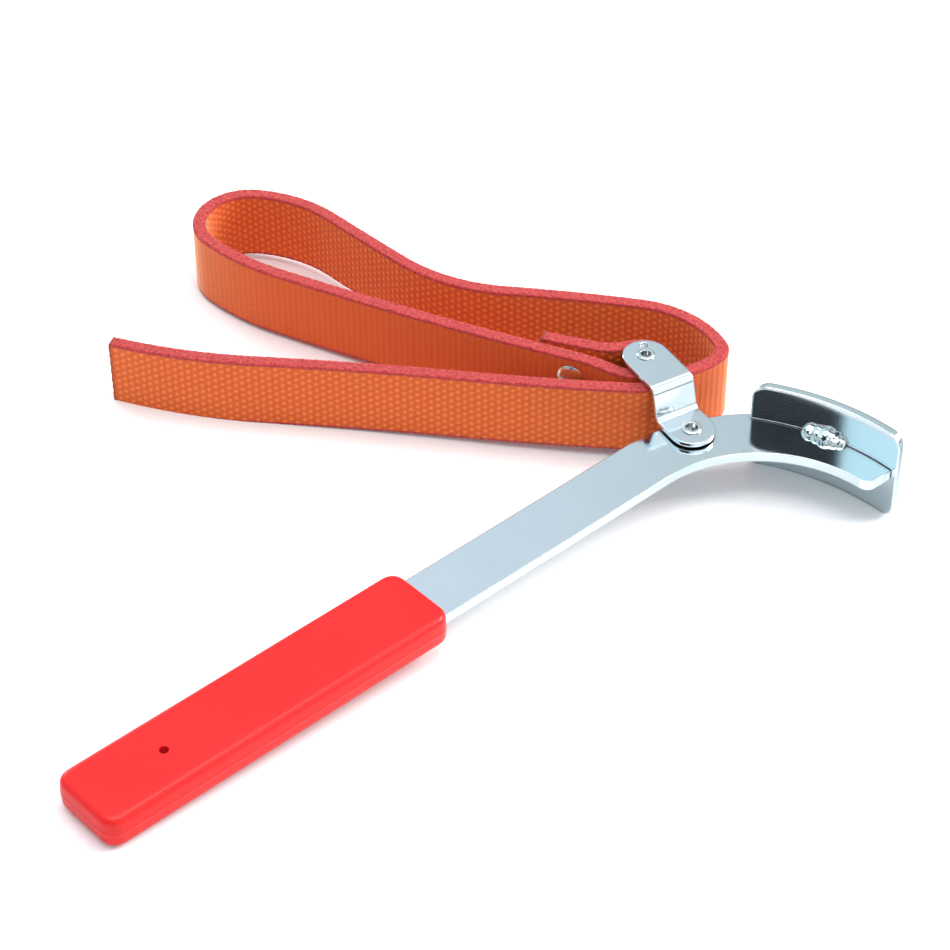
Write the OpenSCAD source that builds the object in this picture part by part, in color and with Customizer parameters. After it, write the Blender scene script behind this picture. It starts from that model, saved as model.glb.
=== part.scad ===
// Strap wrench for oil filters: a flat steel bar handle with a moulded grip, bent to a
// hook that carries a curved shoe, and a webbing strap held in a swivelling clip.
// All lengths are in millimetres. +X runs along the bar from the grip to the hook,
// +Z is square to the flat of the bar, and the hook curves toward -Y.
// The origin is the axis of the clip rivet, half way through the bar.

/* [Bar] */
// width of the flat bar
bar_w = 20; // [18:0.5:22]
// thickness of the flat bar
bar_t = 3.5; // [3:0.1:4]
// radius of the inner edge of the hook bend
bend_r = 44; // [40:0.5:46]

/* [Grip] */
// width of the grip
grip_w = 27.4; // [25:0.2:30]
// thickness of the grip
grip_t = 11; // [9:0.2:13]
// length of the grip
grip_l = 128.4; // [110:0.2:135]
// distance from the clip rivet to the front end of the grip
grip_front = 116.2; // [110:0.2:122]
// radius of every outer edge of the grip
grip_r = 3.8; // [2:0.1:4.4]
// diameter of the small blind hole in the top of the grip
vent_d = 3; // [2:0.1:4]

/* [Shoe] */
// inner radius of the curved shoe
shoe_r = 78.5; // [78:0.1:80]
// sheet thickness of the shoe
shoe_t = 2.9; // [2.4:0.1:3]
// height of the shoe, measured square to the bar
shoe_h = 32.8; // [30:0.1:38]
// corner radius of the shoe
shoe_corner = 4.5; // [2:0.5:8]

/* [Clip] */
// width of the clip strips
clip_w = 15.4; // [14:0.2:17]
// sheet thickness of the clip strips
clip_t = 1.5; // [1.2:0.1:1.8]
// distance from the clip rivet to the strap pin
pin_out = 28.2; // [27:0.1:30]
// swivel of the clip from square, toward the hook
clip_turn = 12; // [4:1:20]
// free height between the upper and the lower clip
clip_gap = 27.4; // [26.4:0.1:29]
// radius of the strap pin between the clips
pin_r = 3; // [2.4:0.1:3]

/* [Strap] */
// width of the webbing
strap_w = 25.4; // [22:0.1:26]
// thickness of the webbing
strap_t = 4.5; // [3.4:0.1:4.5]
// length of the free tail past the bend at the clip
tail_l = 174; // [60:1:200]

/* [Hidden] */
$fn = 64;
eps = 0.02;
half_t = bar_t / 2;
// hook bend: the bar turns about this centre, both edges concentric
bend_x = -20.5;
bend_y = -bar_w / 2 - bend_r;
bend_out = bend_r + bar_w;
tip_a = -2;
tip_corner = 4;
// the bar is buried in the grip up to this end wall
grip_wall = 8.6;
bar_tail = grip_front + grip_l - grip_wall;
vent_x = -(grip_front + grip_l - 29.6);
// shoe: centre of its arc and the two end angles
shoe_x = -44.1;
shoe_y = -52.9;
shoe_a0 = -3.5;
shoe_a1 = 35;
// how far the middle of the shoe sits below the middle of the bar
shoe_drop = 0.9;
shoe_mid = (shoe_a0 + shoe_a1) / 2;
shoe_slack = 0.3;
seat_past = 0.4;
shoe_len = 2 * (shoe_r + shoe_t / 2) * sin((shoe_a1 - shoe_a0) / 2);
// the sheet is rolled longer by this angle at each end, then trimmed to the outline
shoe_trim = 4;
// weld bead in the corner between the hook and the shoe: [angle on the arc, radius] of each lump
weld_in = 0.25;
weld_lumps = [[20.4, 3.2], [18.4, 3.4], [16.4, 3.9], [14.4, 3.2], [12.6, 2.4]];
// fasteners: shank radius, head radius, head height
rivet_shank = 2.5;
rivet_head = 3.3;
rivet_head_h = 0.6;
// hollow ends: bore as a share of the shank, rim as a share of the head, bore chamfer
rivet_bore = 0.76;
rivet_rim = 0.86;
bore_lip = 0.2;
bore_deep = 1.2;
run_gap = 0.05;
washer_r = 5;
washer_t = 0.8;
axial = 0.03;
// clip strips: middle heights of the two flanges, bends and web lean
flange_lo = half_t + washer_t + axial + clip_t / 2;
flange_hi = clip_gap / 2 + clip_t / 2;
web_lean = 75;
web_bend = 2.75;
web_start = 7.2;
web_rise = flange_hi - flange_lo - 2 * web_bend * (1 - cos(web_lean));
web_len = web_rise / sin(web_lean);
dimple_r = 1.3;
dimple_d = 0.9;
dimple_v = 2.2;
dimple_u = 4.6;
// strap pin ends
pin_shank = 2.4;
pin_head = 3;
pin_head_h = 0.6;
pin_bore = 1.5;
// webbing: the eye round the pin touches the pin on its inner side
eye_in = pin_r + run_gap;
eye_r = 7.5;
eye_turn = 162.5;
path_x = (pin_out - eye_in - strap_t / 2) * sin(clip_turn);
path_y = (pin_out - eye_in - strap_t / 2) * cos(clip_turn);
path_h = 180 - clip_turn;
// route of the loop, each entry [length, turn in degrees], starting at the pin
near_run = [[14.5, -66], [15.5, 14]];
loop_run = [[110, -5.5], [30, -20], [42, -142], [30, -36.5], [36, 1], [41, 38],
            [46, -5], [35, -58], [8, -66.5], [8, -13.5]];
// route of the folded end, from the same start the other way round the pin
fold_run = [[eye_r * eye_turn * PI / 180, eye_turn], [5.5, 0], [8, -29.5], [18.5, -3]];
// strap rivets: distance along the near run and height above the middle
srivet_s = 14.5;
layer_gap = 7.72;
srivet_z = 4.9;
srivet_shank = 2;
srivet_head = 4.7;
srivet_head_h = 1.3;
srivet_washer = 4.4;
srivet_washer_t = 0.8;
// tail: starts at the hook side of the clip, runs through it and turns away
tail_u = 17;
tail_v = 10.3;
tail_run = [[14.5, 0], [7.5, -34.5], [0.3 * tail_l, -4], [0.415 * tail_l, 3.5],
            [0.285 * tail_l, -15]];
steel = [0.78, 0.83, 0.87];
rivet_steel = [0.66, 0.7, 0.74];
red = [0.9, 0.22, 0.22];
orange = [0.86, 0.4, 0.2];

// point [x, y, heading] reached a fraction f along one [length, turn] entry
function arc_point(p, seg, f) =
    let (a = seg[1] * f, l = seg[0] * f,
         c = abs(a) < 0.01 ? l : 2 * l / (a * PI / 180) * sin(a / 2))
    [p[0] + c * cos(p[2] + a / 2), p[1] + c * sin(p[2] + a / 2), p[2] + a];

// all points after the start of a route, one every six degrees of turn
function route(p, segs, i = 0) =
    i >= len(segs) ? [] :
    let (n = max(1, ceil(abs(segs[i][1]) / 6)))
    concat([for (k = [1:n]) arc_point(p, segs[i], k / n)],
           route(arc_point(p, segs[i], 1), segs, i + 1));

// outline of a strip of thickness t laid along the points of a route
function strip(pts, t) =
    concat([for (p = pts) [p[0] - sin(p[2]) * t / 2, p[1] + cos(p[2]) * t / 2]],
           [for (i = [len(pts) - 1:-1:0])
               [pts[i][0] + sin(pts[i][2]) * t / 2, pts[i][1] - cos(pts[i][2]) * t / 2]]);

// the same points walked the other way
function reversed(pts) = [for (i = [len(pts) - 1:-1:0]) [pts[i][0], pts[i][1], pts[i][2] + 180]];

strap_start = [path_x, path_y, path_h];
srivet_at = arc_point(arc_point(strap_start, near_run[0], 1), near_run[1],
                      srivet_s / near_run[1][0]);

// hollow-ended rivet along z: shank from z0 to z1 with a formed head beyond each end
module tube_rivet(shank, head, head_h, z0, z1) {
    bore = shank * rivet_bore;
    rim = head * rivet_rim;
    rotate_extrude()
        polygon([[0, z0 - head_h * 0.3], [bore, z0 - head_h * 0.3],
                 [bore + bore_lip, z0 - head_h], [rim, z0 - head_h],
                 [head, z0 - head_h * 0.55], [head, z0], [shank, z0], [shank, z1],
                 [head, z1], [head, z1 + head_h * 0.55], [rim, z1 + head_h],
                 [bore + bore_lip, z1 + head_h], [bore, z1 - bore_deep], [0, z1 - bore_deep]]);
}

// distance from point o, going at angle a, to the far side of the circle about c
function ray_to_circle(o, a, c, r) =
    let (dx = o[0] - c[0], dy = o[1] - c[1], k = dx * cos(a) + dy * sin(a))
    -k + sqrt(k * k - dx * dx - dy * dy + r * r);

// points on a circle from angle a0 to a1, one every two degrees or finer
function arc(c, r, a0, a1) =
    let (n = ceil(abs(a1 - a0) / 2))
    [for (i = [0:n]) [c[0] + r * cos(a0 + (a1 - a0) * i / n),
                      c[1] + r * sin(a0 + (a1 - a0) * i / n)]];

// plan of the bar: straight part, concentric bend, seat for the shoe, rounded tip corner
function bar_plan() =
    let (bend = [bend_x, bend_y], shoe_c = [shoe_x, shoe_y], seat = shoe_r - shoe_slack,
         start_a = shoe_a1 + seat_past,
         start_r = ray_to_circle(shoe_c, start_a, bend, bend_out),
         start_p = [shoe_x + start_r * cos(start_a), shoe_y + start_r * sin(start_a)],
         out_a = atan2(start_p[1] - bend_y, start_p[0] - bend_x),
         tip_r = ray_to_circle(bend, tip_a, shoe_c, seat),
         tip_p = [bend_x + tip_r * cos(tip_a), bend_y + tip_r * sin(tip_a)],
         seat_a = atan2(tip_p[1] - shoe_y, tip_p[0] - shoe_x),
         corner_a = asin(tip_corner / (bend_r + tip_corner)) + tip_a,
         corner = [bend_x + (bend_r + tip_corner) * cos(corner_a),
                   bend_y + (bend_r + tip_corner) * sin(corner_a)])
    concat([[-bar_tail, bar_w / 2]],
           arc(bend, bend_out, 90, out_a),
           arc(shoe_c, seat, start_a, seat_a),
           arc(corner, tip_corner, tip_a - 90, corner_a - 180),
           arc(bend, bend_r, corner_a + 1, 90),
           [[-bar_tail, -bar_w / 2]]);

module handle_bar() {
    color(steel)
        difference() {
            translate([0, 0, -half_t])
                linear_extrude(height = bar_t)
                    polygon(bar_plan());
            cylinder(r = rivet_shank, h = bar_t + 2, center = true);
        }
}

module grip() {
    x0 = -grip_front - grip_l + grip_r;
    x1 = -grip_front - grip_r;
    y1 = grip_w / 2 - grip_r;
    z1 = grip_t / 2 - grip_r;
    color(red)
        difference() {
            hull()
                for (x = [x0, x1], y = [-y1, y1], z = [-z1, z1])
                    translate([x, y, z])
                        sphere(r = grip_r, $fn = 32);
            translate([-bar_tail, -bar_w / 2, -half_t])
                cube([bar_tail, bar_w, bar_t]);
            translate([vent_x, 0, half_t - eps])
                cylinder(d = vent_d, h = grip_t);
        }
}

module shoe() {
    spare = 1;
    color(steel)
        intersection() {
            translate([shoe_x, shoe_y, -shoe_drop - shoe_h / 2 - spare])
                rotate([0, 0, shoe_a0 - shoe_trim])
                    rotate_extrude(angle = shoe_a1 - shoe_a0 + 2 * shoe_trim, $fn = 180)
                        translate([shoe_r, 0])
                            square([shoe_t, shoe_h + 2 * spare]);
            translate([shoe_x, shoe_y, -shoe_drop])
                rotate([0, 0, shoe_mid])
                    shoe_outline();
        }
}

// rounded upright rectangle, extruded outward from the arc centre
module shoe_outline() {
    y1 = shoe_len / 2 - shoe_corner;
    z1 = shoe_h / 2 - shoe_corner;
    x0 = shoe_r * 0.8;
    depth = shoe_r * 0.4;
    union() {
        translate([x0, -y1, -shoe_h / 2])
            cube([depth, 2 * y1, shoe_h]);
        translate([x0, -shoe_len / 2, -z1])
            cube([depth, shoe_len, 2 * z1]);
        for (y = [-y1, y1], z = [-z1, z1])
            translate([x0, y, z])
                rotate([0, 90, 0])
                    cylinder(r = shoe_corner, h = depth);
    }
}

// lumpy bead lying on the top of the hook and against the inner face of the shoe
module shoe_weld() {
    color(rivet_steel)
        translate([shoe_x, shoe_y, half_t])
            intersection() {
                union()
                    for (lump = weld_lumps)
                        rotate([0, 0, lump[0]])
                            translate([shoe_r - weld_in, 0, -weld_in])
                                sphere(r = lump[1], $fn = 96);
                cylinder(r = shoe_r, h = bar_w, $fn = 360);
            }
}

module clip_rivet() {
    reach = half_t + washer_t + clip_t + 2 * axial;
    color(rivet_steel)
        tube_rivet(rivet_shank, rivet_head, rivet_head_h, -reach, reach);
}

module clip_washer() {
    translate([0, 0, half_t])
        difference() {
            cylinder(r = washer_r, h = washer_t);
            translate([0, 0, -1])
                cylinder(r = rivet_shank, h = washer_t + 2);
        }
}

module clip_washer_top() {
    color(rivet_steel)
        clip_washer();
}

module clip_washer_bottom() {
    color(rivet_steel)
        mirror([0, 0, 1])
            clip_washer();
}

// one Z-bent strip: local +y runs from the clip rivet out to the strap pin
module clip_strip() {
    bend_len = web_bend * web_lean * PI / 180;
    half_w = clip_w / 2;
    margin = half_w + 2;
    side = concat([[-margin, flange_lo, 0]],
                  route([-margin, flange_lo, 0],
                        [[margin + web_start, 0], [bend_len, web_lean], [web_len, 0],
                         [bend_len, -web_lean], [pin_out, 0]]));
    difference() {
        intersection() {
            rotate([90, 0, 90])
                linear_extrude(height = clip_w + 2, center = true)
                    polygon(strip(side, clip_t));
            union() {
                cylinder(r = half_w, h = clip_gap);
                translate([-half_w, 0, 0])
                    cube([clip_w, pin_out, clip_gap]);
                translate([0, pin_out, 0])
                    cylinder(r = half_w, h = clip_gap);
            }
        }
        cylinder(r = rivet_shank + run_gap, h = clip_gap);
        translate([0, pin_out, 0])
            cylinder(r = pin_shank, h = clip_gap);
    }
}

module clip_upper() {
    color(steel)
        rotate([0, 0, -clip_turn])
            difference() {
                clip_strip();
                // shallow dimple near the outer end
                translate([dimple_v, pin_out + dimple_u, flange_hi + clip_t / 2 - dimple_d])
                    cylinder(r = dimple_r, h = 1);
            }
}

module clip_lower() {
    color(steel)
        rotate([0, 0, -clip_turn])
            mirror([0, 0, 1])
                clip_strip();
}

module strap_pin() {
    reach = clip_gap / 2 + clip_t;
    color(rivet_steel)
        rotate([0, 0, -clip_turn])
            translate([0, pin_out, 0])
                rotate_extrude()
                    polygon([[0, -reach - pin_head_h * 0.3], [pin_bore, -reach - pin_head_h * 0.3],
                             [pin_bore + bore_lip, -reach - pin_head_h],
                             [pin_head * rivet_rim, -reach - pin_head_h],
                             [pin_head, -reach - pin_head_h * 0.5], [pin_head, -reach],
                             [pin_shank, -reach], [pin_shank, -clip_gap / 2],
                             [pin_r, -clip_gap / 2], [pin_r, clip_gap / 2],
                             [pin_shank, clip_gap / 2], [pin_shank, reach],
                             [pin_head, reach], [pin_head, reach + pin_head_h * 0.5],
                             [pin_head * rivet_rim, reach + pin_head_h],
                             [pin_bore + bore_lip, reach + pin_head_h], [pin_bore, reach - bore_deep],
                             [0, reach - bore_deep]]);
}

// local frame of one strap rivet: +z runs from the near face out through the fold
module at_strap_rivet(z) {
    translate([srivet_at[0], srivet_at[1], z])
        rotate([0, 0, srivet_at[2]])
            rotate([90, 0, 0])
                children();
}

module strap_loop() {
    fold = route([path_x, path_y, path_h - 180], fold_run);
    line = concat(reversed(fold), [strap_start],
                  route(strap_start, concat(near_run, loop_run)));
    color(orange)
        difference() {
            translate([0, 0, -strap_w / 2])
                linear_extrude(height = strap_w)
                    polygon(strip(line, strap_t));
            for (z = [-srivet_z, srivet_z])
                at_strap_rivet(z)
                    translate([0, 0, -strap_t])
                        cylinder(r = srivet_shank, h = 3 * strap_t + layer_gap);
        }
}

module strap_rivet() {
    z0 = -strap_t / 2;
    z1 = layer_gap + strap_t / 2 + srivet_washer_t;
    rotate_extrude()
        polygon([[0, z0 - srivet_head_h], [srivet_head * 0.45, z0 - srivet_head_h * 0.94],
                 [srivet_head * 0.8, z0 - srivet_head_h * 0.7],
                 [srivet_head, z0 - srivet_head_h * 0.25], [srivet_head, z0],
                 [srivet_shank, z0], [srivet_shank, z1], [srivet_shank * 1.7, z1],
                 [srivet_shank * 1.7, z1 + 0.4], [srivet_shank * 1.3, z1 + 0.9],
                 [srivet_shank * 0.6, z1 + 0.9], [srivet_shank * 0.5, z1 - 0.4],
                 [0, z1 - 0.4]]);
}

module strap_rivet_top() {
    color(rivet_steel)
        at_strap_rivet(srivet_z)
            strap_rivet();
}

module strap_rivet_bottom() {
    color(rivet_steel)
        at_strap_rivet(-srivet_z)
            strap_rivet();
}

module strap_washer() {
    translate([0, 0, layer_gap + strap_t / 2])
        difference() {
            cylinder(r = srivet_washer, h = srivet_washer_t);
            translate([0, 0, -1])
                cylinder(r = srivet_shank, h = srivet_washer_t + 2);
        }
}

module strap_washer_top() {
    color(rivet_steel)
        at_strap_rivet(srivet_z)
            strap_washer();
}

module strap_washer_bottom() {
    color(rivet_steel)
        at_strap_rivet(-srivet_z)
            strap_washer();
}

module strap_tail() {
    first = [tail_u * sin(clip_turn) + tail_v * cos(clip_turn),
             tail_u * cos(clip_turn) - tail_v * sin(clip_turn), 180 - clip_turn];
    color(orange)
        translate([0, 0, -strap_w / 2])
            linear_extrude(height = strap_w)
                polygon(strip(concat([first], route(first, tail_run)), strap_t));
}

handle_bar();
grip();
shoe();
shoe_weld();
clip_rivet();
clip_washer_top();
clip_washer_bottom();
clip_upper();
clip_lower();
strap_pin();
strap_loop();
strap_rivet_top();
strap_rivet_bottom();
strap_washer_top();
strap_washer_bottom();
strap_tail();
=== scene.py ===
import bpy
import bmesh
import math
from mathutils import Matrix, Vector


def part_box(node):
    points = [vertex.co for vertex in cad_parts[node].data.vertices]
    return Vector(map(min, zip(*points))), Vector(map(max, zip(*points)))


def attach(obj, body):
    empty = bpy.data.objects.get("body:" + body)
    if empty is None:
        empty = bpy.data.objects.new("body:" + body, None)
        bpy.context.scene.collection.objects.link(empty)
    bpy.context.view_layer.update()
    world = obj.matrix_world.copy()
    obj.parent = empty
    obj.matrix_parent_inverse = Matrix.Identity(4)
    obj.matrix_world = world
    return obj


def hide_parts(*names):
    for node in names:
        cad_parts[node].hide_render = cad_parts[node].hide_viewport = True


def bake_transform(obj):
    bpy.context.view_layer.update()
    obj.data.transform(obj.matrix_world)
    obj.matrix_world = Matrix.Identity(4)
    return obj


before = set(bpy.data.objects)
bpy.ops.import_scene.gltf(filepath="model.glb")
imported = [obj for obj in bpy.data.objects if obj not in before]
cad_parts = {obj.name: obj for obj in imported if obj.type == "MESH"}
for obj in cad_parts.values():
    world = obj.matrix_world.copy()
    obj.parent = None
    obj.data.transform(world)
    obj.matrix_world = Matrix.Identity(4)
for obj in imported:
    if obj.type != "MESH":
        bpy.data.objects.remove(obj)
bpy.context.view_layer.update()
MM = 0.001


# ---------------------------------------------------------------- sizes, all in millimetres
def tenth(metres):
    """Millimetres to the nearest tenth, which undoes the small flats of the CAD's round faces."""
    return round(metres / MM, 1)


grip_lo, grip_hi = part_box("grip")
GRIP_X0, GRIP_X1 = tenth(grip_lo.x), tenth(grip_hi.x)
GRIP_W, GRIP_T = tenth(grip_hi.y - grip_lo.y), tenth(grip_hi.z - grip_lo.z)
GRIP_CORNER = 5.2
GRIP_EDGE = 2.2
VENT_X, VENT_R = GRIP_X0 + 29.6, 1.5

bar_lo, bar_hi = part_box("handle_bar")
BAR_END = tenth(bar_lo.x)
BAR_W, BAR_T = 20.0, tenth(bar_hi.z - bar_lo.z)

# the clip rivet is the origin; the strap pin stands PIN_OUT from it, TURN degrees from +y towards +x
pin_lo, pin_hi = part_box("strap_pin")
pin = (pin_lo + pin_hi) / 2
PIN_OUT = tenth(math.hypot(pin.x, pin.y))
PIN_R = tenth((pin_hi.x - pin_lo.x) / 2)
TURN = round(math.degrees(math.atan2(pin.x, pin.y)), 1)
RUN_GAP = 0.05

tail_lo, tail_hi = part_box("strap_tail")
STRAP_T, STRAP_W = 4.5, tenth(tail_hi.z - tail_lo.z)
STRAP_CORNER = 0.5
# strap rivets: height either side of the middle, how far along the second entry of NEAR, and how far
# from the folded end
RIVET_Z, RIVET_NEAR, RIVET_FAR = 4.9, 14.5, 13.4
# the strap is cut inside the clip channel, this far out along the clip and this far across it
SEAM_OUT, SEAM_LOOP, SEAM_TAIL = 17.0, 5.0, 4.5

# pitch of the woven nubs along and across the webbing, and the radius of a nub
PITCH_S, PITCH_W, NUB = 2.25, 2.6, 0.92
# mesh rows along the strap, and mesh columns across a face
STEP = PITCH_S / 4
FACE_N = 38

# routes of the strap's centre line: [length, turn in degrees to the left]
EYE_R, EYE_TURN = 7.5, 162.5
FOLD = [[EYE_R * math.radians(EYE_TURN), EYE_TURN], [5.5, 0], [8, -29.5], [18.5, -3]]
NEAR = [[14.5, -66], [15.5, 14]]
LOOP = [[110, -5.5], [30, -20], [42, -142], [30, -36.5], [36, 1], [41, 38],
        [46, -5], [35, -58], [8, -66.5], [8, -13.5]]
TAIL = [[8.7, 0], [7.5, -34.5], [52.2, -4], [72.2, 3.5], [49.6, -15]]


# ---------------------------------------------------------------- node helpers
def new_material(name):
    """A material with only a principled shader: (material, node tree, shader)."""
    m = bpy.data.materials.new(name)
    m.use_nodes = True
    nt = m.node_tree
    nt.nodes.clear()
    out = nt.nodes.new("ShaderNodeOutputMaterial")
    bsdf = nt.nodes.new("ShaderNodeBsdfPrincipled")
    nt.links.new(bsdf.outputs["BSDF"], out.inputs["Surface"])
    return m, nt, bsdf


def feed(nt, socket, value):
    """Link an output to the socket, or set the socket to a plain value or an opaque colour."""
    if hasattr(value, "is_output"):
        nt.links.new(value, socket)
    elif hasattr(value, "__len__") and len(value) == 3 and len(socket.default_value) == 4:
        socket.default_value = (*value, 1.0)
    else:
        socket.default_value = value


def node(nt, kind, inputs=None, **props):
    n = nt.nodes.new(kind)
    for key, value in props.items():
        setattr(n, key, value)
    for key, value in (inputs or {}).items():
        feed(nt, n.inputs[key], value)
    return n


def noise(nt, where, scale, detail, roughness=0.5):
    parts = {"Vector": where, "Scale": scale, "Detail": detail, "Roughness": roughness}
    return node(nt, "ShaderNodeTexNoise", parts).outputs["Fac"]


def calc(nt, op, a, b=0.0, c=0.0, clamp=False):
    return node(nt, "ShaderNodeMath", {0: a, 1: b, 2: c}, operation=op, use_clamp=clamp).outputs[0]


def ramp(nt, fac, stops):
    """Colour ramp through (place, colour) stops."""
    n = node(nt, "ShaderNodeValToRGB", {"Fac": fac})
    marks = n.color_ramp.elements
    while len(marks) < len(stops):
        marks.new(0.5)
    for mark, (place, colour) in zip(marks, stops):
        mark.position = place
        mark.color = (*colour, 1.0)
    return n.outputs["Color"]


def mix(nt, fac, a, b):
    """Colour a where fac is 0 and b where it is 1; 0, 6 and 7 are the colour mixer's sockets."""
    return node(nt, "ShaderNodeMix", {0: fac, 6: a, 7: b}, data_type="RGBA").outputs[2]


def bump(nt, shader, height, strength, distance, normal=None):
    """Bump the shader's normal by a height, on top of another normal if one is given."""
    parts = {"Strength": strength, "Distance": distance, "Height": height}
    if normal is not None:
        parts["Normal"] = normal
    out = node(nt, "ShaderNodeBump", parts).outputs[0]
    nt.links.new(out, shader.inputs["Normal"])
    return out


# ---------------------------------------------------------------- materials
def zinc_material(name, tint, rough, bevel=0.0006, recess_shade=0.35, lumps=0.0):
    """Bright zinc plating: near-mirror, faint cloudiness, rounded edges, painted brown shade in the
    recesses.
    """
    m, nt, shader = new_material(name)
    co = node(nt, "ShaderNodeTexCoord").outputs["Object"]
    cloud = noise(nt, co, 45.0, 4.0, 0.6)
    fine = noise(nt, co, 900.0, 3.0, 0.7)
    stretch = node(nt, "ShaderNodeMapping", {"Vector": co, "Scale": (60.0, 1600.0, 1600.0)})
    lines = noise(nt, stretch.outputs[0], 1.0, 2.0)
    clouded = ramp(nt, cloud, [(0.35, [c * 0.96 for c in tint]), (0.65, tint)])
    lined = ramp(nt, lines, [(0.35, [c * 0.88 for c in tint]), (0.65, tint)])
    col = mix(nt, 0.12, clouded, lined)
    # painted shade: the colour darkens to brown where ambient occlusion finds recesses, creases and gaps
    # between parts
    ao = node(nt, "ShaderNodeAmbientOcclusion", {"Distance": 0.0022}, samples=6).outputs["AO"]
    deep = calc(nt, "MULTIPLY", calc(nt, "SUBTRACT", 1.0, ao), 1.6, clamp=True)
    recess_shade_mask = calc(nt, "MULTIPLY", calc(nt, "POWER", deep, 2.0), recess_shade)
    feed(nt, shader.inputs["Base Color"], mix(nt, recess_shade_mask, col, (0.10, 0.055, 0.04)))
    feed(nt, shader.inputs["Metallic"], 1.0)
    haze = calc(nt, "MULTIPLY_ADD", fine, 0.05, rough)
    feed(nt, shader.inputs["Roughness"], calc(nt, "MULTIPLY_ADD", cloud, 0.05, haze))
    rounded = node(nt, "ShaderNodeBevel", {"Radius": bevel}, samples=6).outputs[0]
    drawn = bump(nt, shader, lines, 0.03, 0.0002, rounded)
    if lumps:
        bump(nt, shader, noise(nt, co, 420.0, 1.0), lumps, 0.0012, drawn)
    return m


def plastic_material(name):
    """Smooth moulded plastic: even colour, faint flow marks and fine grain."""
    m, nt, shader = new_material(name)
    co = node(nt, "ShaderNodeTexCoord").outputs["Object"]
    flow = noise(nt, co, 18.0, 3.0)
    col = ramp(nt, flow, [(0.3, (0.66, 0.006, 0.006)), (0.7, (0.71, 0.009, 0.009))])
    feed(nt, shader.inputs["Base Color"], col)
    feed(nt, shader.inputs["Roughness"], calc(nt, "MULTIPLY_ADD", flow, 0.1, 0.27))
    feed(nt, shader.inputs["Specular IOR Level"], 0.35)
    bump(nt, shader, noise(nt, co, 1400.0, 2.0), 0.10, 0.00012)
    return m


def nub_pattern(nt, uv, rib):
    """Staggered lattice of nubs, every second column moved by half a pitch: 1 on a nub, 0 between."""
    sway = noise(nt, uv, 0.35, 2.0)
    sep = node(nt, "ShaderNodeSeparateXYZ", {0: uv})
    u = calc(nt, "MULTIPLY_ADD", sway, 0.7, sep.outputs[0])
    v = calc(nt, "MULTIPLY_ADD", sway, -0.5, sep.outputs[1])
    column = calc(nt, "DIVIDE", u, PITCH_S)
    index = calc(nt, "FLOOR", column)
    fu = calc(nt, "SUBTRACT", calc(nt, "SUBTRACT", column, index), 0.5)
    stagger = calc(nt, "MODULO", index, 2.0)
    row = calc(nt, "MULTIPLY_ADD", stagger, 0.5, calc(nt, "DIVIDE", v, PITCH_W))
    fv = calc(nt, "SUBTRACT", calc(nt, "FRACT", row), 0.5)
    du = calc(nt, "POWER", calc(nt, "ABSOLUTE", calc(nt, "MULTIPLY", fu, PITCH_S / NUB)), 2.0)
    dv = calc(nt, "POWER", calc(nt, "ABSOLUTE", calc(nt, "MULTIPLY", fv, PITCH_W / NUB)), 2.0)
    # on the ribbed face the nubs run together across the strap and stand lower
    dv = calc(nt, "MULTIPLY", dv, calc(nt, "MULTIPLY_ADD", rib, -0.75, 1.0))
    nub = calc(nt, "SUBTRACT", 1.0, calc(nt, "ADD", du, dv), clamp=True)
    return calc(nt, "MULTIPLY", nub, calc(nt, "MULTIPLY_ADD", rib, -0.5, 1.0))


def selvedge(nt, uv, rim, base):
    """The base colour with the dyed edge over it, wrapped a little way round with a ragged border."""
    inward = calc(nt, "MULTIPLY_ADD", noise(nt, uv, 0.8, 3.0), -1.6, rim)
    fade = calc(nt, "MULTIPLY", calc(nt, "ADD", inward, 0.1), 1.6)
    edge = calc(nt, "SUBTRACT", 1.0, fade, clamp=True)
    twist = noise(nt, uv, 0.9, 3.0, 0.65)
    dyes = [(0.32, (0.22, 0.016, 0.024)), (0.5, (0.42, 0.040, 0.042)), (0.72, (0.56, 0.085, 0.070))]
    return mix(nt, edge, base, ramp(nt, twist, dyes))


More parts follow.
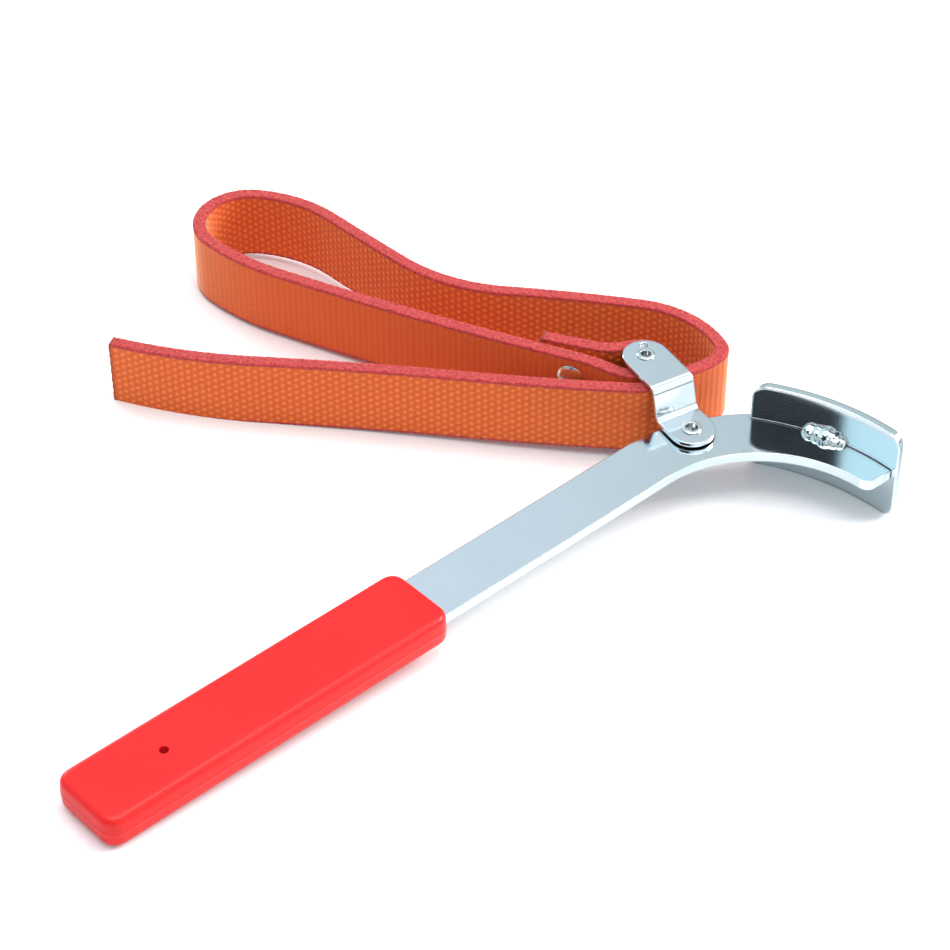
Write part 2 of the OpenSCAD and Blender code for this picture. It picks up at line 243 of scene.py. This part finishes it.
def webbing_material(name):
    """Woven webbing. UV holds millimetres, u along the strap and v across it; rim is the distance in
    from the narrow edges, rib is 1 on the ribbed face, melt is 1 at the heat-cut ends."""
    m, nt, shader = new_material(name)
    uv = node(nt, "ShaderNodeUVMap", uv_map="weave").outputs[0]
    rim, rib, melt = [node(nt, "ShaderNodeAttribute", attribute_name=label).outputs["Fac"]
                      for label in ("rim", "rib", "melt")]
    nub = nub_pattern(nt, uv, rib)
    along = node(nt, "ShaderNodeMapping", {"Vector": uv, "Scale": (0.8, 6.0, 1.0)}).outputs[0]
    fibre = noise(nt, along, 1.5, 4.0, 0.7)
    # painted light and shade of the weave: the colour is lighter on the nub tops and darker between the
    # nubs
    shades = [(0.0, (0.57, 0.092, 0.017)), (0.35, (0.65, 0.115, 0.021)), (0.9, (0.80, 0.185, 0.043))]
    base = mix(nt, calc(nt, "MULTIPLY", fibre, 0.35), ramp(nt, nub, shades), (0.70, 0.14, 0.028))
    base = mix(nt, calc(nt, "MULTIPLY", rib, 0.3), base, (0.52, 0.075, 0.014))
    # painted sheen: the colour pales towards glancing angles, for the light that raised fibres catch
    # there
    facing = node(nt, "ShaderNodeLayerWeight", {"Blend": 0.5}).outputs["Facing"]
    painted_sheen = calc(nt, "MULTIPLY", calc(nt, "POWER", facing, 3.5), 0.8)
    base = mix(nt, painted_sheen, base, (0.95, 0.50, 0.26))
    col = selvedge(nt, uv, rim, base)
    col = mix(nt, calc(nt, "MULTIPLY", melt, 0.75), col, (0.22, 0.035, 0.02))
    feed(nt, shader.inputs["Base Color"], col)
    feed(nt, shader.inputs["Roughness"], 0.75)
    feed(nt, shader.inputs["Sheen Weight"], 0.3)
    feed(nt, shader.inputs["Sheen Roughness"], 0.35)
    feed(nt, shader.inputs["Sheen Tint"], (1.0, 0.80, 0.62))
    feed(nt, shader.inputs["Specular IOR Level"], 0.25)
    height = calc(nt, "MULTIPLY_ADD", nub, 0.8, calc(nt, "MULTIPLY", fibre, 0.5))
    bump(nt, shader, height, 0.5, 0.0003)
    return m


M_ZINC = zinc_material("zinc_plate", (0.80, 0.86, 0.90), 0.06)
M_SHOE = zinc_material("zinc_sheet", (0.80, 0.86, 0.90), 0.05, bevel=0.0011)
# the rivets get the strongest painted shade, dark brown in their hollow heads
M_RIVET = zinc_material("rivet_plate", (0.76, 0.80, 0.83), 0.13, bevel=0.0003, recess_shade=0.85)
M_WELD = zinc_material("weld_bead", (0.86, 0.89, 0.90), 0.04, bevel=0.0001, lumps=0.9)
M_RED = plastic_material("grip_red")
M_WEB = webbing_material("webbing_orange")

# the nodes that aren't listed are rivets, washers and the pin
CAD_LOOK = {
    "handle_bar": M_ZINC,
    "clip_upper": M_ZINC,
    "clip_lower": M_ZINC,
    "shoe": M_SHOE,
    "shoe_weld": M_WELD,
    "grip": M_RED,
    "strap_loop": M_WEB,
    "strap_tail": M_WEB,
}
for name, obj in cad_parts.items():
    obj.data.materials.clear()
    obj.data.materials.append(CAD_LOOK.get(name, M_RIVET))


# ---------------------------------------------------------------- mesh helpers
def cosd(angle):
    return math.cos(math.radians(angle))


def sind(angle):
    return math.sin(math.radians(angle))


def smooth(x):
    """0 up to 0, 1 from 1 on, and a soft step between."""
    x = min(1.0, max(0.0, x))
    return x * x * (3 - 2 * x)


def fix_normals(mesh):
    """Turn every face's normal outward."""
    bm = bmesh.new()
    bm.from_mesh(mesh)
    bmesh.ops.recalc_face_normals(bm, faces=bm.faces)
    bm.to_mesh(mesh)
    bm.free()


def add_mesh(name, verts, faces, mat):
    """New object from points in millimetres."""
    mesh = bpy.data.meshes.new(name)
    mesh.from_pydata([[c * MM for c in p] for p in verts], [], faces)
    mesh.materials.append(mat)
    obj = bpy.data.objects.new(name, mesh)
    bpy.context.collection.objects.link(obj)
    return obj


# ---------------------------------------------------------------- grip
def plan_ring(inset):
    """Rounded rectangle offset inward, mirror-symmetric in y, from the middle of the front end."""
    x0, x1, y1 = GRIP_X0 + inset, GRIP_X1 - inset, GRIP_W / 2 - inset
    r = max(0.8, GRIP_CORNER - inset)
    corner = [(r * cosd(15 * k), r * sind(15 * k)) for k in range(7)]
    half = [(x1, y1 * k / 6 * (1 - r / y1)) for k in range(6)]
    half += [(x1 - r + a, y1 - r + b) for a, b in corner]
    half += [(x1 - r + (x0 - x1 + 2 * r) * k / 24, y1) for k in range(1, 24)]
    half += [(x0 + r - b, y1 - r + a) for a, b in corner]
    half += [(x0, (y1 - r) * (1 - k / 6)) for k in range(1, 7)]
    return half + [(x, -y) for x, y in half[-2:0:-1]]


def grip_profile():
    """(inset, height) from the flat of the top round the edge down to the parting line."""
    top = GRIP_T / 2
    crown = [(7.0, top), (5.0, top - 0.03), (GRIP_EDGE + 1.0, top - 0.09)]
    turns = [90 - 14 * k for k in range(7)]
    edge = [(0.15 + GRIP_EDGE * (1 - cosd(a)), top - 0.12 - GRIP_EDGE * (1 - sind(a))) for a in turns]
    return crown + edge + [(0.07, 1.4), (0.03, 0.3), (-0.04, 0.12)]


def cap_faces(n):
    """Faces across a mirror-symmetric ring of n points: a triangle at each end, quads between."""
    quads = [(i, i + 1, n - i - 1, n - i) for i in range(1, n // 2 - 1)]
    return [(0, 1, n - 1)] + quads + [(n // 2 - 1, n // 2, n // 2 + 1)]


def grip_cutters():
    """The pocket that the bar fills, and the blind vent hole down to the bar."""
    bpy.ops.mesh.primitive_cube_add(size=1)
    pocket = bpy.context.object
    pocket.scale = (-BAR_END * MM, BAR_W * MM, BAR_T * MM)
    pocket.location = (BAR_END / 2 * MM, 0, 0)
    bpy.ops.mesh.primitive_cylinder_add(vertices=40, radius=VENT_R * MM, depth=GRIP_T * MM)
    vent = bpy.context.object
    vent.location = (VENT_X * MM, 0, (BAR_T / 2 - 0.05 + GRIP_T / 2) * MM)
    return [pocket, vent]


def cut_away(obj, cutters):
    """Subtract the cutters from the object, apply the cuts and remove the cutters."""
    for cutter in cutters:
        mod = obj.modifiers.new("cut", "BOOLEAN")
        mod.operation = "DIFFERENCE"
        mod.solver = "EXACT"
        mod.object = cutter
    bpy.context.view_layer.update()
    deps = bpy.context.evaluated_depsgraph_get()
    mesh = bpy.data.meshes.new_from_object(obj.evaluated_get(deps))
    obj.modifiers.clear()
    obj.data = mesh
    for cutter in cutters:
        bpy.data.objects.remove(cutter, do_unlink=True)


def make_grip():
    """Moulded grip with a rounded rim, a fine parting line, the bar pocket and the vent hole."""
    half = grip_profile()
    rings = half + [(inset, -z) for inset, z in half[::-1]]
    n = len(plan_ring(0))
    verts = [(x, y, z) for inset, z in rings for x, y in plan_ring(inset)]
    faces = []
    for k in range(len(rings) - 1):
        for i in range(n):
            a, b = k * n + i, k * n + (i + 1) % n
            faces.append((a, a + n, b + n, b))
    base = (len(rings) - 1) * n
    for face in cap_faces(n):
        faces.append(face)
        faces.append(tuple(base + i for i in face[::-1]))
    grip = add_mesh("grip_moulded", verts, faces, M_RED)
    fix_normals(grip.data)
    cut_away(grip, grip_cutters())
    mesh = grip.data
    for face in mesh.polygons:
        face.use_smooth = True
    mesh.set_sharp_from_angle(angle=math.radians(38))
    mesh.materials.clear()
    mesh.materials.append(M_RED)
    return grip


grip = make_grip()
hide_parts("grip")
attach(grip, "handle")


# ---------------------------------------------------------------- strap routes
def clip_xy(out, across):
    """Point at a distance out along the clip from the clip rivet, and a distance across it."""
    return (out * sind(TURN) + across * cosd(TURN), out * cosd(TURN) - across * sind(TURN))


def arc_point(p, seg, f):
    """Where fraction f of a [length, turn] entry ends, from p, as (x, y, heading)."""
    length, turn = seg[0] * f, seg[1] * f
    chord = length
    if abs(turn) >= 0.01:
        chord = 2 * length / math.radians(turn) * sind(turn / 2)
    heading = p[2] + turn / 2
    return (p[0] + chord * cosd(heading), p[1] + chord * sind(heading), p[2] + turn)


def fine_route(p, segs):
    """Points (x, y, heading) close together along [length, turn] entries."""
    out = [p]
    for seg in segs:
        n = max(1, round(seg[0] / 0.1))
        out += [arc_point(p, seg, (k + 1) / n) for k in range(n)]
        p = arc_point(p, seg, 1)
    return out


def even_route(line, step):
    """The same line resampled at an exact even step, so the weave keeps its rhythm."""
    out, want, s = [line[0]], step, 0.0
    for a, b in zip(line, line[1:]):
        d = math.hypot(b[0] - a[0], b[1] - a[1])
        while s + d >= want:
            f = (want - s) / d
            out.append(tuple(a[k] + (b[k] - a[k]) * f for k in range(3)))
            want += step
        s += d
    return out


def bridge(a, b, n=60):
    """Smooth curve from a to b, each (x, y, heading), in n steps."""
    pa, pb = Vector(a[:2]), Vector(b[:2])
    reach = (pb - pa).length / 3
    leave = pa + Vector((cosd(a[2]), sind(a[2]))) * reach
    arrive = pb - Vector((cosd(b[2]), sind(b[2]))) * reach
    out = []
    for i in range(1, n + 1):
        t = i / n
        r = 1 - t
        p = pa * r ** 3 + leave * 3 * t * r ** 2 + arrive * 3 * t * t * r + pb * t ** 3
        d = (leave - pa) * r ** 2 + (arrive - leave) * 2 * t * r + (pb - arrive) * t * t
        heading = math.degrees(math.atan2(d.y, d.x))
        heading += 360 * round((a[2] - heading) / 360)
        out.append((p.x, p.y, heading))
    return out


# ---------------------------------------------------------------- webbing
def nub_height(s, w, rib):
    """0..1 relief of the staggered nubs at s along and w across the face."""
    k = math.floor(s / PITCH_S)
    du = (s / PITCH_S - k - 0.5) * PITCH_S / NUB
    row = w / PITCH_W + 0.5 * (k % 2)
    dv = (row - math.floor(row) - 0.5) * PITCH_W / NUB
    return max(0.0, 1 - du * du - dv * dv * (1 - 0.75 * rib)) ** 0.6


def section():
    """Closed section from the left face round: (thickness, height, whether on a narrow edge)."""
    t, w, r = STRAP_T / 2, STRAP_W / 2, STRAP_CORNER
    side = [(t, (w - r) * (2 * i / FACE_N - 1), False) for i in range(FACE_N + 1)]
    side += [(t - r + r * cosd(a), w - r + r * sind(a), True) for a in (30, 60)]
    side += [(t - r - (2 * t - 2 * r) * i / 5, w, True) for i in range(6)]
    side += [(-t + r - r * sind(a), w - r + r * cosd(a), True) for a in (30, 60)]
    return side + [(-d, -z, narrow) for d, z, narrow in side]


def woven_offset(s, z, side, rib, holes):
    """How far the weave stands out at a place on a face: less by the edges, none under rivet heads."""
    edge = 1 - smooth((STRAP_W / 2 - abs(z) - 0.7) / 0.7)
    flat = max([0.0] + [1 - smooth((math.hypot(s - hs, z - hz) - 5.0) / 1.2) for hs, hz in holes])
    rise = (0.26 - 0.20 * rib) * (nub_height(s, z + STRAP_W / 2, rib) - 0.4)
    return side * (rise * (1 - edge) + 0.05 * edge) * (1 - flat)


def edge_lump(s, d):
    """Height of the soft twisted lumps along the narrow edge."""
    twist = math.sin(2 * math.pi * (s / PITCH_S + d / STRAP_T * 0.8))
    return 0.06 * (twist + 0.7 * math.sin(2 * math.pi * s / 5.1 + d))


def strap_body(line, sec, holes, ribbed):
    """Points along the strap, and for each one its weave values: ((u, v), rim, rib, melt)."""
    verts, weave = [], []
    length = (len(line) - 1) * STEP
    for i, (x, y, heading) in enumerate(line):
        s = i * STEP
        melt = 1 - smooth((min(s, length - s) - 0.3) / 1.0)
        close = [hole for hole in holes if abs(hole[0] - s) < 7]
        for d, z, narrow in sec:
            side = 1 if d > 0 else -1
            rib = 1.0 if side == ribbed else 0.0
            rim, out, skew = STRAP_W / 2 - abs(z), d, 0
            if narrow:
                z += edge_lump(s, d) * (1 if z > 0 else -1)
                rim, skew = 0.0, d
            else:
                out += woven_offset(s, z, side, rib, close)
            v = z + STRAP_W / 2 + (0 if side > 0 else 15 * PITCH_W) + skew
            verts.append((x - sind(heading) * out, y + cosd(heading) * out, z))
            weave.append(((s, v), rim, rib, melt))
    return verts, weave


def cut_end(verts, weave, faces, sec, row, place, outward):
    """Heat-cut end: an uneven ring drawn in a little, then closed across the thickness."""
    m, half, base = len(sec), len(sec) // 2, len(verts)
    x, y, heading = place
    ch, sh = cosd(heading), sind(heading)
    for j, (d, z, narrow) in enumerate(sec):
        out = (0.3 + 0.12 * math.sin(z * 1.9) + 0.08 * math.sin(z * 4.3)) * outward
        verts.append((x - sh * d * 0.84 + ch * out, y + ch * d * 0.84 + sh * out, z * 0.985))
        weave.append((weave[row + j][0], 0.6, 0.0, 0.8))
    for j in range(m):
        k = (j + 1) % m
        faces.append((row + j, row + k, base + k, base + j))
    for j in range(FACE_N):
        across = base + half + FACE_N - j
        faces.append((base + j, base + j + 1, across - 1, across))
    faces.append(tuple(base + j for j in range(FACE_N, half + 1)))
    faces.append(tuple(base + j % m for j in range(half + FACE_N, m + 1)))


def webbing(name, line, holes=(), ribbed=0):
    """A strap along an even line of (x, y, heading); ribbed is the side that is ribbed, 1 or -1, or 0."""
    sec = section()
    m, n = len(sec), len(line)
    verts, weave = strap_body(line, sec, holes, ribbed)
    faces = []
    for i in range(n - 1):
        for j in range(m):
            a, b = i * m + j, i * m + (j + 1) % m
            faces.append((a, b, b + m, a + m))
    cut_end(verts, weave, faces, sec, 0, line[0], -1)
    cut_end(verts, weave, faces, sec, (n - 1) * m, line[-1], 1)
    obj = add_mesh(name, verts, faces, M_WEB)
    mesh = obj.data
    for k, label in enumerate(("rim", "rib", "melt")):
        values = [entry[k + 1] for entry in weave]
        mesh.attributes.new(label, "FLOAT", "POINT").data.foreach_set("value", values)
    layer = mesh.uv_layers.new(name="weave")
    layer.data.foreach_set("uv", [c for loop in mesh.loops for c in weave[loop.vertex_index][0]])
    for face in mesh.polygons:
        face.use_smooth = True
    fix_normals(mesh)
    return obj


def make_loop():
    """Folded end, round the pin, along the loop and back into the clip channel."""
    start = clip_xy(PIN_OUT - (PIN_R + RUN_GAP) - STRAP_T / 2, 0)
    fold = fine_route((*start, -TURN), FOLD)
    onward = fine_route((*start, 180 - TURN), NEAR + LOOP)
    line = [(x, y, heading + 180) for x, y, heading in fold[::-1]][:-1] + onward
    line += bridge(onward[-1], (*clip_xy(SEAM_OUT, SEAM_LOOP), 180 - TURN - 360))
    near_rivet = sum(seg[0] for seg in FOLD) + NEAR[0][0] + RIVET_NEAR
    holes = [(s, z) for s in (near_rivet, RIVET_FAR) for z in (-RIVET_Z, RIVET_Z)]
    return webbing("strap_loop_web", even_route(line, STEP), holes, ribbed=1)


def make_tail():
    line = fine_route((*clip_xy(SEAM_OUT, SEAM_TAIL), 180 - TURN), TAIL)
    return webbing("strap_tail_web", even_route(line, STEP))


def join_to_clip(piece, cad):
    """Hide the CAD node that the piece stands in for and bake the piece's placement into its mesh."""
    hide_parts(cad)
    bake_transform(piece)


loop_web = make_loop()
tail_web = make_tail()
join_to_clip(loop_web, "strap_loop")
join_to_clip(tail_web, "strap_tail")


# ---------------------------------------------------------------- stage, light, camera
# shades of the reflected sky by height
SKY_SHADES = [(0.0, (0.42, 0.47, 0.51)), (0.5, (0.48, 0.585, 0.605)), (1.0, (0.75, 0.85, 0.88))]
# walls seen only in reflections: azimuth, elevation, radius, softness, colour
SKY_WALLS = (
    (60, 41, 8, 8, (0.80, 0.90, 1.02)),
    (281, 36, 36, 7, (1.22, 1.30, 1.33)),
    (138, 41, 24, 9, (0.80, 1.12, 1.20)),
    (193, 41, 20, 1.5, (0.022, 0.026, 0.029)),
)
STRIP_AZIMUTH = 281


def sky_direction(azimuth, elevation):
    level = cosd(elevation)
    return (cosd(azimuth) * level, sind(azimuth) * level, sind(elevation))


def nearness(nt, look, azimuth, elevation):
    """Cosine of the angle from the looked-at direction to a place in the sky."""
    parts = {0: look, 1: sky_direction(azimuth, elevation)}
    return node(nt, "ShaderNodeVectorMath", parts, operation="DOT_PRODUCT").outputs["Value"]


def studio_world():
    """Even pale light, with walls that only mirror reflections see."""
    world = bpy.data.worlds.new("studio")
    bpy.context.scene.world = world
    world.use_nodes = True
    nt = world.node_tree
    look = node(nt, "ShaderNodeTexCoord").outputs["Generated"]
    height = node(nt, "ShaderNodeSeparateXYZ", {0: look}).outputs[2]
    sky = ramp(nt, height, SKY_SHADES)
    for azimuth, elevation, radius, softness, colour in SKY_WALLS:
        parts = {"Value": nearness(nt, look, azimuth, elevation),
                 "From Min": cosd(radius + softness),
                 "From Max": cosd(radius - softness)}
        sky = mix(nt, node(nt, "ShaderNodeMapRange", parts).outputs[0], sky, colour)
    # narrow dark strip low in front, seen as a crease line in the bent clip
    off_strip = calc(nt, "ABSOLUTE", calc(nt, "SUBTRACT", height, 0.03))
    in_front = calc(nt, "GREATER_THAN", nearness(nt, look, STRIP_AZIMUTH, 0), 0.965)
    strip = calc(nt, "MULTIPLY", calc(nt, "LESS_THAN", off_strip, 0.07), in_front)
    sky = mix(nt, strip, sky, (0.10, 0.11, 0.12))
    glossy = node(nt, "ShaderNodeLightPath").outputs["Is Glossy Ray"]
    background = nt.nodes["Background"]
    feed(nt, background.inputs["Color"], mix(nt, glossy, (0.84, 0.88, 0.93), sky))
    feed(nt, background.inputs["Strength"], 1.0)


def table_material():
    """Pale table. Mirror faces see it greyer, as painted shade, and greyer still out in front of the
    head.
    """
    m, nt, shader = new_material("floor_pale")
    place = node(nt, "ShaderNodeNewGeometry").outputs["Position"]
    x = node(nt, "ShaderNodeSeparateXYZ", {0: place}).outputs[0]
    # painted shade that only reflections see: grey, deepening from x 0.03 to 0.07 out in front of the
    # head
    shade_ahead = node(nt, "ShaderNodeMapRange", {"Value": x, "From Min": 0.03, "From Max": 0.07})
    mirrored_shade = mix(nt, shade_ahead.outputs[0], (0.73, 0.775, 0.78), (0.30, 0.34, 0.36))
    glossy = node(nt, "ShaderNodeLightPath").outputs["Is Glossy Ray"]
    feed(nt, shader.inputs["Base Color"], mix(nt, glossy, (0.93, 0.935, 0.94), mirrored_shade))
    feed(nt, shader.inputs["Roughness"], 0.9)
    feed(nt, shader.inputs["Specular IOR Level"], 0.1)
    return m


def add_table():
    """The wrench lies on the shoe's lower edge and the back of the grip, so the table tilts a little."""
    shoe_lo, shoe_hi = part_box("shoe")
    slope = (grip_lo.z - shoe_lo.z) / (shoe_hi.x - grip_lo.x)
    bpy.ops.mesh.primitive_plane_add(size=6)
    floor = bpy.context.object
    floor.name = "floor"
    floor.rotation_euler = (0, math.atan(slope), 0)
    floor.location = (0, 0, shoe_lo.z + slope * shoe_hi.x - 0.0004)
    floor.data.materials.append(table_material())


def aim(obj, direction):
    obj.rotation_mode = "QUATERNION"
    obj.rotation_quaternion = direction.to_track_quat("-Z", "Y")


def area_light(name, place, target, size, power, colour):
    data = bpy.data.lights.new(name, "AREA")
    data.energy = power
    data.color = colour
    data.size = size
    light = bpy.data.objects.new(name, data)
    bpy.context.collection.objects.link(light)
    light.location = place
    aim(light, Vector(target) - Vector(place))


def add_camera(azimuth, elevation, place):
    """Long lens at a place, looking down by elevation; azimuth runs from +y towards +x."""
    data = bpy.data.cameras.new("camera")
    data.lens = 106.1
    data.sensor_width = 36
    data.clip_start, data.clip_end = 0.01, 20
    cam = bpy.data.objects.new("camera", data)
    bpy.context.collection.objects.link(cam)
    cam.location = place
    level = cosd(elevation)
    aim(cam, Vector((sind(azimuth) * level, cosd(azimuth) * level, -sind(elevation))))
    bpy.context.scene.camera = cam


add_table()
studio_world()
area_light("top", (0.1, 0.1, 1.6), (0, 0, 0), 1.2, 15, (1, 0.99, 0.98))
area_light("key", (1.1, -0.55, 0.8), (0.05, 0, 0), 0.7, 22, (1, 0.98, 0.95))
area_light("back", (0.0, 1.15, 0.42), (-0.15, 0, 0), 0.3, 3, (1, 1, 1))
add_camera(42.23, 40.93, (-0.5205, -0.4687, 0.5883))
bpy.context.scene.view_settings.view_transform = "Standard"
